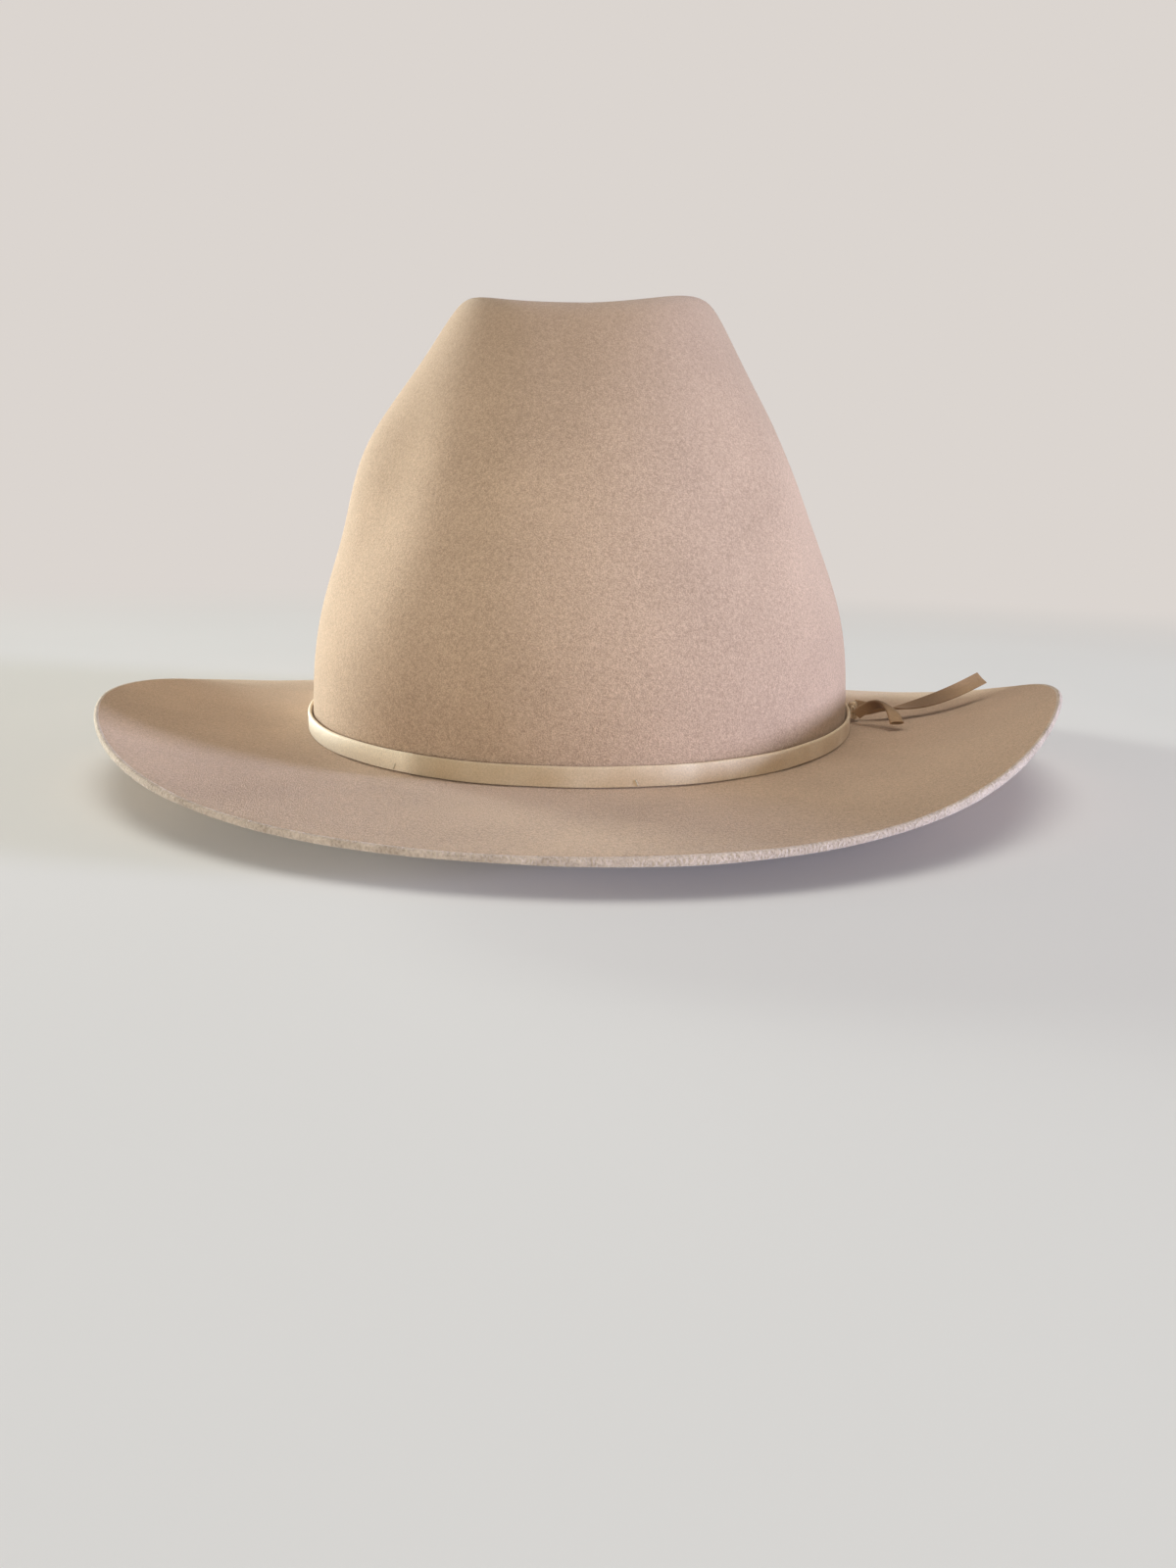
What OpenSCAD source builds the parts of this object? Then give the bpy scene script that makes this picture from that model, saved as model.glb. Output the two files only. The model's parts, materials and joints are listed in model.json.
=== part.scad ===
// Felt western hat. X is the wearer's left, Y the back, Z up.
// The origin is the centre of the head opening, at the brim break.

/* [Head opening] */
// Width of the felt crown at its base, side to side
base_width = 169; // [163:1:175]
// Length of the felt crown at its base, front to back
base_length = 201; // [195:1:207]
// Squareness of the base oval, where 2 is a plain ellipse
base_squareness = 2.15; // [2:0.05:2.3]
// How far the brim break rises at the two sides
break_saddle = 2.4; // [1:0.2:4]

/* [Felt] */
// Thickness of the felt
felt_thickness = 2; // [1.6:0.1:2.4]
// Radius of the bend where the brim meets the crown
break_radius = 1.6; // [1.2:0.1:2]

/* [Crown] */
// Height of the ridge line at mid length, before it is rounded
ridge_height = 133; // [126:0.5:138]
// How far the ridge line drops towards the front
front_drop = 8; // [5:0.5:11]
// How far the ridge line drops towards the back
back_drop = 6; // [3:0.5:9]
// Width across the ridge line
ridge_width = 66; // [62:1:74]
// Reach of the ridge line in front of the origin
ridge_front = 46; // [43:1:52]
// Reach of the ridge line behind the origin
ridge_back = 62; // [58:1:66]
// Height at which the walls start to lean in
lean_start = 34; // [30:1:38]
// Depth of the dent in the top
dent_depth = 20; // [14:1:24]
// Depth of the front pinch on the wearer's right
right_pinch = 5; // [1:0.5:6]
// Depth of the front pinch on the wearer's left
left_pinch = 3; // [1:0.5:6]
// Angle from the front to the middle of each pinch
pinch_angle = 36; // [30:1:44]
// Height of the middle of each pinch
pinch_height = 66; // [56:1:76]
// How far the wearer's right side of the crown swells at mid height
right_swell = 8; // [4:0.5:9]
// How far the wearer's left side swells
left_swell = 3; // [0:0.5:5]
// Depth of the shallow scoop under the front of the ridge
scoop_depth = 1.6; // [0:0.1:2.5]

/* [Brim] */
// Width of the brim from the break to the cut edge
brim_width = 58; // [52:1:64]
// Height of the edge at the front
front_edge = 0.2; // [-2:0.2:2]
// Height of the edge at the two rear quarters
quarter_edge = -8; // [-9:0.2:-5]
// How much higher the edge is at the middle of the back
back_lift = 2; // [1:0.5:4]
// Height that the edge curls to on the wearer's left
left_curl = 21; // [16:1:24]
// Height that the edge curls to on the wearer's right
right_curl = 13.5; // [9:0.5:18]

/* [Ribbon] */
// Height of the folded ribbon round the crown
band_height = 5.2; // [4.5:0.1:6]
// Thickness of one layer of ribbon
ribbon_thickness = 0.55; // [0.4:0.05:0.6]
// Width of the ribbon's free tails
tail_width = 4.8; // [4:0.2:5.2]

/* [Inside] */
// Height of the leather sweatband
sweatband_height = 50; // [42:1:54]
// Thickness of the sweatband leather
leather_thickness = 1.1; // [0.8:0.1:1.2]
// Thickness of the satin lining
satin_thickness = 0.4; // [0.3:0.05:0.5]
// Number of stitches round the sweatband
stitch_count = 60; // [30:30:60]

/* [Hidden] */

segments = 60;                      // facets round every oval
angles = [for (i = [0:segments - 1]) i * 360 / segments];
front_side = 270;                   // azimuths of the hat's front and back
back_side = 90;

ridge_squareness_front = 2.8;
ridge_squareness_back = 2.3;
lean_blend = 10;                    // how softly the upright foot turns into the leaning wall
front_notch = 0.5;                  // dip of the ridge line near the middle of the front
notch_angle = 276;
notch_spread = 18;
ridge_round_down = 9;               // how far the rounding of the ridge reaches down the wall
ridge_round_in = 8;                 // and in over the top
dent_flatness = 2.4;
pinch_spread = 15;
pinch_reach = 34;
scoop_height = 112;
scoop_spread = 22;
scoop_reach = 8;

left_curl_angle = 341;
right_curl_angle = 209;
curl_front_sharpness = 7;           // the curl falls away quickly towards the front
curl_back_sharpness = 1.8;          // and slowly towards the back
right_swell_angle = 198;
right_swell_spread = 32;
left_swell_angle = 328;
left_swell_spread = 22;
swell_height = 83;
swell_reach = 21;
side_roll = 2.6;                    // above 1, the brim stays flat near the crown and rolls at its edge
end_roll = 1.3;

// Distances inward from the outer face of the crown wall to each inner layer
lining_gap = felt_thickness + 1;
leather_gap = lining_gap + satin_thickness + 0.5;
leather_back = leather_gap + leather_thickness;
tape_gap = felt_thickness + 0.8;

band_gap = 0.5;                     // from the felt to the ribbon's inner layer
fold_gap = 0.3;                     // between the ribbon's two layers
band_bottom = 0.6;
band_depth = 2 * ribbon_thickness + fold_gap;
band_face = band_gap + band_depth;

reed_radius = 0.55;
tape_bore = 0.95;
tape_radius = 1.25;
reed_inset = 3.75;                  // centre of the reed, inward from the crown's outer face
reed_level = -0.8;
tape_top = 7;
joiner_length = 7;
joiner_bore = 0.65;
joiner_radius = 0.8;

// ---- the hat's surface ----

function mix(from, to, share) = from + (to - from) * share;
function bump(value, centre, spread) = exp(-pow((value - centre) / spread, 2));
function oval_radius(angle, half_width, half_length, squareness) =
    pow(pow(abs(cos(angle)) / half_width, squareness)
        + pow(abs(sin(angle)) / half_length, squareness), -1 / squareness);

function base_radius(angle) =
    oval_radius(angle, base_width / 2, base_length / 2, base_squareness);
function base_point(angle) = base_radius(angle) * [cos(angle), sin(angle)];

// Outward direction of the base oval, level
function outward(angle) =
    let (point = base_point(angle),
         slope = [sign(point.x) * pow(abs(point.x), base_squareness - 1)
                      / pow(base_width / 2, base_squareness),
                  sign(point.y) * pow(abs(point.y), base_squareness - 1)
                      / pow(base_length / 2, base_squareness)])
    slope / norm(slope);

function break_height(angle) = break_saddle * pow(cos(angle), 2);

// Share of the lean reached at a height: an upright foot, then a straight slope
function lean_amount(height) = lean_blend * ln(1 + exp((height - lean_start) / lean_blend));
function lean_share(height) = lean_amount(height) / lean_amount(ridge_height);

function front_of(angle) = sin(angle) < 0;
function wall_radius(angle, share) =
    oval_radius(angle,
        mix(base_width, ridge_width, share) / 2,
        mix(base_length / 2, front_of(angle) ? ridge_front : ridge_back, share),
        mix(base_squareness,
            front_of(angle) ? ridge_squareness_front : ridge_squareness_back, share));

function ridge_radius(angle) = wall_radius(angle, 1);
function ridge_level(angle) =
    let (along = ridge_radius(angle) * sin(angle))
    ridge_height
        - (front_of(angle) ? front_drop * pow(along / ridge_front, 2)
                           : back_drop * pow(along / ridge_back, 2))
        - front_notch * bump(angle, notch_angle, notch_spread);

function pinch_at(angle, height) =
    bump(height, pinch_height, pinch_reach)
        * (right_pinch * bump(angle, front_side - pinch_angle, pinch_spread)
           + left_pinch * bump(angle, front_side + pinch_angle, pinch_spread))
        + scoop_depth * bump(height, scoop_height, scoop_reach)
            * bump(angle, front_side, scoop_spread)
        - bump(height, swell_height, swell_reach)
            * (right_swell * bump(angle, right_swell_angle, right_swell_spread)
               + left_swell * bump(angle, left_swell_angle, left_swell_spread));

// Outer face of the crown wall, set in by a distance
function wall_point(angle, height, inset = 0) =
    let (radius = wall_radius(angle, lean_share(height)) - pinch_at(angle, height),
         flat_point = radius * [cos(angle), sin(angle)] - inset * outward(angle))
    [flat_point.x, flat_point.y, height + break_height(angle)];

function top_point(angle, share) =
    let (radius = share * ridge_radius(angle),
         along = radius * sin(angle),
         drop = (front_of(angle) ? front_drop * pow(along / ridge_front, 2)
                                 : back_drop * pow(along / ridge_back, 2)))
    [radius * cos(angle), along,
     ridge_height - drop - dent_depth * (1 - pow(share, dent_flatness))
         - front_notch * share * bump(angle, notch_angle, notch_spread)];

function wall_top(angle) = ridge_level(angle) - break_height(angle);
function inner_share(angle) = 1 - ridge_round_in / ridge_radius(angle);

// The rounded ridge: a curve from the wall, past the sharp ridge line, to the top
function ridge_point(angle, step) =
    let (foot = wall_point(angle, wall_top(angle) - ridge_round_down),
         peak = top_point(angle, 1),
         inside = top_point(angle, inner_share(angle)))
    mix(mix(foot, peak, step), mix(peak, inside, step), step);

// Height of the brim's cut edge
function edge_level(angle) =
    mix(quarter_edge, front_edge, (1 - sin(angle)) / 2)
        + back_lift * pow(max(0, sin(angle)), 8);
function curl_lobe(angle, centre, height) =
    let (ahead = sin(angle) < sin(centre),
         sharpness = ahead ? curl_front_sharpness : curl_back_sharpness)
    (height - edge_level(centre)) * pow(max(0, cos(angle - centre)), sharpness);
function edge_height(angle) =
    edge_level(angle)
        + curl_lobe(angle, left_curl_angle, left_curl)
        + curl_lobe(angle, right_curl_angle, right_curl);

function brim_point(angle, share) =
    let (roll = mix(end_roll, side_roll, pow(cos(angle), 2)),
         flat_point = base_point(angle) + share * brim_width * outward(angle))
    [flat_point.x, flat_point.y,
     mix(break_height(angle), edge_height(angle), pow(share, roll))];

function bend_point(angle) =
    let (reach = break_radius * (1 - cos(45)),
         flat_point = base_point(angle) + reach * outward(angle))
    [flat_point.x, flat_point.y, break_height(angle) + reach];

brim_shares = [1, 0.94, 0.8, 0.62, 0.42, 0.2, break_radius / brim_width];
wall_heights = [break_radius, 7, 15, 23, 31, 39, 49, 60, 72, 84, 95, 105];
ridge_steps = [0, 0.25, 0.5, 0.75, 1];
dent_shares = [0.8, 0.6, 0.4, 0.2];

felt_rows = [
    for (share = brim_shares) [for (angle = angles) brim_point(angle, share)],
    [for (angle = angles) bend_point(angle)],
    for (height = wall_heights) [for (angle = angles) wall_point(angle, height)],
    for (step = ridge_steps) [for (angle = angles) ridge_point(angle, step)],
    for (share = dent_shares)
        [for (angle = angles) top_point(angle, share * inner_share(angle))]];

function unit(vector) = vector / norm(vector);
function facing(rows, row, column) =
    let (next_row = min(row + 1, len(rows) - 1),
         last_row = max(row - 1, 0),
         next_column = (column + 1) % segments,
         last_column = (column + segments - 1) % segments)
    unit(cross(rows[row][next_column] - rows[row][last_column],
               rows[next_row][column] - rows[last_row][column]));
function sunk(rows, depth) =
    [for (row = [0:len(rows) - 1])
        [for (column = [0:segments - 1])
            rows[row][column] - depth * facing(rows, row, column)]];

// ---- closed solids from rows of points ----

function joined(rows) = [for (row = rows) each row];

// Two triangles for each step round and each step up, facing away from the axis
function band_faces(lower, upper, flipped = false) =
    [for (i = [0:segments - 1])
        let (next = (i + 1) % segments,
             a = lower + i, b = lower + next, c = upper + next, d = upper + i)
        each flipped ? [[a, b, c], [a, c, d]] : [[d, c, b], [d, b, a]]];
function wall_faces(first, count, flipped = false) =
    [for (row = [0:count - 2])
        each band_faces((first + row) * segments, (first + row + 1) * segments, flipped)];

// A skin that runs round the head, open above and below
module ring_skin(outer, inner) {
    count = len(outer);
    polyhedron(
        points = concat(joined(outer), joined(inner)),
        faces = concat(
            wall_faces(0, count),
            wall_faces(count, count, true),
            band_faces(0, count * segments, true),
            band_faces((count - 1) * segments, (2 * count - 1) * segments)));
}

// A skin that closes over the head at two middle points
module domed_skin(outer, inner, outer_middle, inner_middle) {
    count = len(outer);
    last_outer = (count - 1) * segments;
    last_inner = (2 * count - 1) * segments;
    middles = 2 * count * segments;
    polyhedron(
        points = concat(joined(outer), joined(inner), [outer_middle, inner_middle]),
        faces = concat(
            wall_faces(0, count),
            wall_faces(count, count, true),
            band_faces(0, count * segments, true),
            [for (i = [0:segments - 1])
                let (next = (i + 1) % segments)
                each [[middles, last_outer + next, last_outer + i],
                      [middles + 1, last_inner + i, last_inner + next]]]));
}

// A closed outline of [distance out, height] points carried round the base oval
function ring_rows(outline) =
    [for (point = outline)
        [for (angle = angles)
            let (flat_point = base_point(angle) + point.x * outward(angle))
            [flat_point.x, flat_point.y, point.y + break_height(angle)]]];
module ring_sweep(outline) {
    count = len(outline);
    polyhedron(
        points = joined(ring_rows(outline)),
        faces = [for (row = [0:count - 1])
            each band_faces(row * segments, ((row + 1) % count) * segments)]);
}

function arc(centre, radius, from, to, steps) =
    [for (step = [0:steps])
        let (angle = mix(from, to, step / steps))
        centre + radius * [cos(angle), sin(angle)]];

// A strip with closed ends: one ring of corners for each place along it
module strip(rings) {
    sides = len(rings[0]);
    last = (len(rings) - 1) * sides;
    polyhedron(
        points = [for (ring = rings) each ring],
        faces = concat(
            [[for (side = [0:sides - 1]) side]],
            [[for (side = [sides - 1:-1:0]) last + side]],
            [for (ring = [0:len(rings) - 2], side = [0:sides - 1])
                let (next = (side + 1) % sides,
                     a = ring * sides + side, b = ring * sides + next)
                each [[a, a + sides, b + sides], [a, b + sides, b]]]));
}

// Puts children on a ring's facet, X outward, Y along the facet and Z up
module on_facet(facet, out, height) {
    from = base_point(angles[facet]) + out * outward(angles[facet]);
    to_angle = angles[(facet + 1) % segments];
    to = base_point(to_angle) + out * outward(to_angle);
    middle = (from + to) / 2;
    rise = (break_height(angles[facet]) + break_height(to_angle)) / 2;
    translate([middle.x, middle.y, rise + height])
        rotate([0, 0, atan2(to.y - from.y, to.x - from.x) - 90])
            children();
}

// ---- felt ----

module felt_body() {
    color([0.72, 0.6, 0.49])
        domed_skin(felt_rows, sunk(felt_rows, felt_thickness),
            top_point(0, 0), top_point(0, 0) - [0, 0, felt_thickness]);
}

// ---- ribbon ----

// Folded lengthwise, with the fold along the top edge and the cut sides down
module hat_band() {
    top = band_bottom + band_height;
    color([0.83, 0.76, 0.6])
        ring_sweep([
            [band_gap, band_bottom + 0.4],
            [band_gap + ribbon_thickness, band_bottom + 0.4],
            [band_gap + ribbon_thickness, top - 0.9],
            [band_face - ribbon_thickness, top - 0.9],
            [band_face - ribbon_thickness, band_bottom],
            [band_face, band_bottom],
            [band_face, top - 0.4],
            [band_face - 0.5, top],
            [band_gap + 0.3, top],
            [band_gap, top - 0.4]]);
}

knot_size = [2.2, 9, 6];
knot_round = 0.9;
knot_inner = base_width / 2 + band_face + 0.15;
knot_level = break_saddle + band_bottom + 0.2 + knot_size.z / 2;
knot_back = 6.5;
knot_outer = knot_inner + knot_size.x;

module band_knot() {
    color([0.78, 0.7, 0.54])
        translate([knot_inner, knot_back - knot_size.y, knot_level - knot_size.z / 2])
            hull()
                for (y = [knot_round, knot_size.y - knot_round],
                     z = [knot_round, knot_size.z - knot_round])
                    translate([0, y, z])
                        rotate([0, 90, 0])
                            cylinder(h = knot_size.x, r = knot_round, $fn = 24);
}

tail_gap = 0.65;                    // from the knot to each tail's root
tail_steps = 14;

// A point on a curve that is steered by four points
function curve_point(steer, share) =
    pow(1 - share, 3) * steer[0] + 3 * share * pow(1 - share, 2) * steer[1]
        + 3 * share * share * (1 - share) * steer[2] + pow(share, 3) * steer[3];
function curve_ahead(steer, share) =
    unit(curve_point(steer, min(1, share + 0.01)) - curve_point(steer, max(0, share - 0.01)));

// One ring of a ribbon's corners, its width turned from upright by a twist
function ribbon_ring(steer, share, width, thickness, twist) =
    let (ahead = curve_ahead(steer, share),
         level = unit(cross(ahead, [0, 0, 1])),
         upright = cross(level, ahead),
         across = upright * cos(twist) + level * sin(twist),
         through = cross(ahead, across))
    [for (corner = [[-1, -1], [1, -1], [1, 1], [-1, 1]])
        curve_point(steer, share) + across * corner.x * width / 2
            + through * corner.y * thickness / 2];

long_root = [knot_outer + tail_gap, 3, knot_level + 0.5];
long_steer = [long_root, long_root + [12, 0, -1.6], long_root + [24, 4, 1.6],
              long_root + [40, 11, 9.8]];
long_twist = 130;                   // the tail turns over, mostly in its first third
long_twist_haste = 2.6;

module long_tail() {
    color([0.62, 0.5, 0.36])
        strip([for (step = [0:tail_steps])
            let (share = step / tail_steps)
            ribbon_ring(long_steer, share, tail_width, ribbon_thickness,
                long_twist * (1 - pow(1 - share, long_twist_haste)))]);
}

short_root = [knot_outer - 0.6, knot_back - knot_size.y - tail_gap - 0.9, knot_level - 0.6];
short_steer = [short_root, short_root + [4.5, -2.2, 5.2], short_root + [9, -6.5, 6.5],
               short_root + [10.8, -12.5, 0]];

// The short end is curled over like a flat tube
module short_tail() {
    color([0.62, 0.5, 0.36])
        strip([for (step = [0:tail_steps])
            let (share = step / tail_steps)
            ribbon_ring(short_steer, share, mix(3.4, tail_width, share), 1.6,
                mix(20, 90, share))]);
}

// Short thread tacks across the lower edge of the ribbon
tack_facets = [[41, -1], [47, 1], [18, 1], [12, -1]];
module band_tacks() {
    color([0.88, 0.84, 0.72])
        for (tack = tack_facets)
            on_facet(tack[0], band_face + 0.3, band_bottom + 1.1)
                rotate([tack[1] * 24, 0, 0])
                    cube([0.4, 0.45, 1.7], center = true);
}

// ---- sweatband ----

leather_bottom = 0.7;
leather_heights = [leather_bottom, 12, 24, 36, sweatband_height];

module sweatband() {
    color([0.45, 0.3, 0.19])
        ring_skin(
            [for (height = leather_heights)
                [for (angle = angles) wall_point(angle, height, leather_gap)]],
            [for (height = leather_heights)
                [for (angle = angles) wall_point(angle, height, leather_back)]]);
}

reed_centre = [-reed_inset, reed_level];
reed_sides = 8;
joint_facet = 14;                   // the facet that holds the reed's joint, at the back
reed_cut = 0.03;                    // gap between its ends, as a share of a facet

// Middle line of the reed, straight along each facet
function reed_corner(index) =
    let (angle = angles[index % segments],
         flat_point = base_point(angle) + reed_centre.x * outward(angle))
    [flat_point.x, flat_point.y, reed_centre.y + break_height(angle)];
function reed_ring(index, share) =
    let (angle = mix(index, index + 1, share) * 360 / segments,
         centre = mix(reed_corner(index), reed_corner(index + 1), share),
         out = [outward(angle).x, outward(angle).y, 0])
    [for (side = [0:reed_sides - 1])
        let (turn = -side * 360 / reed_sides)
        centre + reed_radius * (out * cos(turn) + [0, 0, 1] * sin(turn))];

module sweatband_reed() {
    color([0.9, 0.9, 0.86])
        strip(concat(
            [reed_ring(joint_facet, 0.5 + reed_cut)],
            [for (step = [1:segments]) reed_ring(joint_facet + step, 0)],
            [reed_ring(joint_facet + segments, 0.5 - reed_cut)]));
}

module reed_joiner() {
    color([0.75, 0.72, 0.62])
        on_facet(joint_facet, -reed_inset, reed_level)
            rotate([90, 0, 0])
                difference() {
                    cylinder(h = joiner_length, r = joiner_radius, center = true, $fn = 32);
                    cylinder(h = joiner_length + 1, r = joiner_bore, center = true, $fn = 32);
                }
}

// A loop round the reed, with a flange up between the felt and the leather
module reed_tape() {
    flange_out = -tape_gap;
    flange_in = -tape_gap - 0.5;
    color([0.2, 0.17, 0.14])
        ring_sweep(concat(
            arc(reed_centre, tape_radius, -230, 30, 6),
            [[flange_out, 1.2], [flange_out, tape_top], [flange_in, tape_top],
             [flange_in, 0.35]],
            arc(reed_centre, tape_bore, 40, -220, 6)));
}

module sweatband_stitches() {
    color([0.86, 0.8, 0.68])
        for (facet = [0:segments / stitch_count:segments - 1])
            on_facet(facet, -leather_back - 0.75, leather_bottom + 2.4)
                rotate([90, 0, 0])
                    cylinder(h = 3.2, r = 0.2, center = true, $fn = 16);
}

// Zigzag over the butted ends of the leather, at the back
zigzag_count = 14;
zigzag_rise = 2.1;
module back_seam_stitches() {
    color([0.8, 0.74, 0.62])
        for (step = [0:zigzag_count - 1])
            let (height = 15 + step * zigzag_rise,
                 place = wall_point(back_side, height, leather_back + 0.8))
            translate([0, place.y, place.z])
                rotate([0, step % 2 == 0 ? 40 : -40, 0])
                    cube([0.4, 0.4, 2], center = true);
}

bow_loop = [11, 1, 5.5];
module sweatband_bow() {
    place = wall_point(back_side, 9, leather_back + 0.8);
    color([0.2, 0.17, 0.14])
        translate([place.x, place.y - bow_loop.y, place.z]) {
            for (side = [-1, 1])
                translate([side * (bow_loop.x / 2 + 1.6), 0, 0])
                    cube([bow_loop.x - 0.4, bow_loop.y, bow_loop.z], center = true);
            cube([2.8, 2, 4], center = true);
        }
}

// ---- lining ----

lining_bottom = 14;
lining_drop = 13;                   // how far below the ridge line the side strip stops
lining_steps = [0, 0.15, 0.3, 0.5, 0.7, 0.85, 1];
tip_dip = 12.5;                     // how far the lining's tip hangs below its rim

function lining_top(angle) = wall_top(angle) - lining_drop;
function lining_row(step, inset) =
    [for (angle = angles)
        wall_point(angle, mix(lining_bottom, lining_top(angle), step), inset)];

module lining_side() {
    color([0.5, 0.44, 0.38])
        ring_skin(
            [for (step = lining_steps) lining_row(step, lining_gap)],
            [for (step = lining_steps) lining_row(step, lining_gap + satin_thickness)]);
}

tip_inset = lining_gap + satin_thickness + 0.4;
tip_shares = [1, 0.8, 0.6, 0.4, 0.2];
tip_middle = [0, 2, ridge_height - lining_drop - tip_dip];
function tip_point(angle, share, drop) =
    let (rim = wall_point(angle, lining_top(angle) - 0.6, tip_inset),
         level = mix(rim.z, tip_middle.z, 1 - share * share))
    [mix(tip_middle.x, rim.x, share), mix(tip_middle.y, rim.y, share), level - drop];

module lining_tip() {
    color([0.5, 0.44, 0.38])
        domed_skin(
            [for (share = tip_shares) [for (angle = angles) tip_point(angle, share, 0)]],
            [for (share = tip_shares)
                [for (angle = angles) tip_point(angle, share, satin_thickness)]],
            tip_middle, tip_middle - [0, 0, satin_thickness]);
}

piping_radius = 0.8;
piping_sides = 6;
module lining_piping() {
    rings = [for (side = [0:piping_sides - 1])
        let (turn = side * 360 / piping_sides)
        [for (angle = angles)
            let (centre = wall_point(angle, lining_top(angle) - 3.2, tip_inset + piping_radius),
                 out = outward(angle) * piping_radius * cos(turn))
            centre + [out.x, out.y, piping_radius * sin(turn)]]];
    color([0.36, 0.31, 0.27])
        polyhedron(
            points = joined(rings),
            faces = [for (side = [0:piping_sides - 1])
                each band_faces(side * segments, ((side + 1) % piping_sides) * segments)]);
}

// A blank woven tag, flat against the leather beside the back seam
tag_size = [0.4, 15, 9];
tag_angle = 76;
tag_gap = 1.1;
module size_tag() {
    low = wall_point(tag_angle, sweatband_height - 14, leather_back + tag_gap);
    high = wall_point(tag_angle, sweatband_height - 5, leather_back + tag_gap);
    out = outward(tag_angle);
    lean = atan2(norm([high.x - low.x, high.y - low.y]), high.z - low.z);
    color([0.93, 0.92, 0.88])
        translate((low + high) / 2)
            rotate([0, 0, atan2(out.y, out.x)])
                rotate([0, -lean, 0])
                    cube(tag_size, center = true);
}

felt_body();
hat_band();
band_knot();
long_tail();
short_tail();
band_tacks();
sweatband();
sweatband_reed();
reed_tape();
reed_joiner();
sweatband_stitches();
back_seam_stitches();
sweatband_bow();
lining_side();
lining_tip();
lining_piping();
size_tag();
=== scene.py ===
import json
import math

import bpy
from mathutils import Matrix, Vector

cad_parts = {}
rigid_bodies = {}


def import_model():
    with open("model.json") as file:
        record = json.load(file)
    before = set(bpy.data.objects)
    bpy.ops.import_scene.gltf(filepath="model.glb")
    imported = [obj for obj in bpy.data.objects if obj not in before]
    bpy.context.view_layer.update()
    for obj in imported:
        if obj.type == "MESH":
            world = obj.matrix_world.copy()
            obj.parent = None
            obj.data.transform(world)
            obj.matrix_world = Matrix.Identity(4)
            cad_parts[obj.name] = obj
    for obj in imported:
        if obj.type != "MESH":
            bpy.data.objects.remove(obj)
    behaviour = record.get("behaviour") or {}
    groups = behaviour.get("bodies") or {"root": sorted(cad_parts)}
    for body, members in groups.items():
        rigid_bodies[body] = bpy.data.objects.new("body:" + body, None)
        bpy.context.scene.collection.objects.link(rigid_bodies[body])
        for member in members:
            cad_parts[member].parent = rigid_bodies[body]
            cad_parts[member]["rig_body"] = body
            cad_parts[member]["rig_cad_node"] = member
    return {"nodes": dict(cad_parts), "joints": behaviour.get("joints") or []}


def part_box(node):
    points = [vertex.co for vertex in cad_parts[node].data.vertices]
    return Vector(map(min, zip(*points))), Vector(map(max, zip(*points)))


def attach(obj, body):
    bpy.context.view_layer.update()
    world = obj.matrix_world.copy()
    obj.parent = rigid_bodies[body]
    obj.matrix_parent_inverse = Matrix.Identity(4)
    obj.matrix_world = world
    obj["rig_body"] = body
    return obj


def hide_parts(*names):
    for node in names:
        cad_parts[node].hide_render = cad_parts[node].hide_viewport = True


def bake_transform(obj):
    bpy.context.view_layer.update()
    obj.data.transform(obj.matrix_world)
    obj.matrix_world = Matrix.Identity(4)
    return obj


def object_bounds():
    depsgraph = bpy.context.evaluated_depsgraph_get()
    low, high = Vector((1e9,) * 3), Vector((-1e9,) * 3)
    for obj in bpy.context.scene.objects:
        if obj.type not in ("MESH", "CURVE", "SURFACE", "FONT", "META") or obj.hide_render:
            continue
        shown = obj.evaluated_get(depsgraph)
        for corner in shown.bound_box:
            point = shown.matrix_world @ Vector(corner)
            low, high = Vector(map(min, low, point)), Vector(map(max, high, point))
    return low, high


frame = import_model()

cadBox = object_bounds()
mm = 0.001


def deselectAll():
    if bpy.context.object and bpy.context.object.mode != "OBJECT":
        bpy.ops.object.mode_set(mode="OBJECT")
    bpy.ops.object.select_all(action="DESELECT")


def makeActive(piece):
    deselectAll()
    piece.select_set(True)
    bpy.context.view_layer.objects.active = piece


def startEdit(piece, kind="VERT"):
    makeActive(piece)
    bpy.context.tool_settings.mesh_select_mode = (kind == "VERT", kind == "EDGE", kind == "FACE")
    bpy.ops.object.mode_set(mode="EDIT")


def selectWhere(piece, kind, test):
    # picks the vertices, edges or faces that pass a test, and stays in edit mode
    deselectAll()
    mesh = piece.data
    for part in (mesh.vertices, mesh.edges, mesh.polygons):
        part.foreach_set("select", [False] * len(part))
    parts = {"VERT": mesh.vertices, "EDGE": mesh.edges, "FACE": mesh.polygons}[kind]
    parts.foreach_set("select", [bool(test(part)) for part in parts])
    startEdit(piece, kind)


def addModifier(piece, kind, **values):
    modifier = piece.modifiers.new(kind.lower(), kind)
    for key, value in values.items():
        setattr(modifier, key, value)
    return modifier


def subdivide(piece, levels):
    addModifier(piece, "SUBSURF", levels=levels, render_levels=levels)


def applyModifiers(piece):
    makeActive(piece)
    for modifier in list(piece.modifiers):
        bpy.ops.object.modifier_apply(modifier=modifier.name)


def faceOutward(piece):
    startEdit(piece)
    bpy.ops.mesh.select_all(action="SELECT")
    bpy.ops.mesh.normals_make_consistent(inside=False)
    bpy.ops.object.mode_set(mode="OBJECT")


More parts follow.
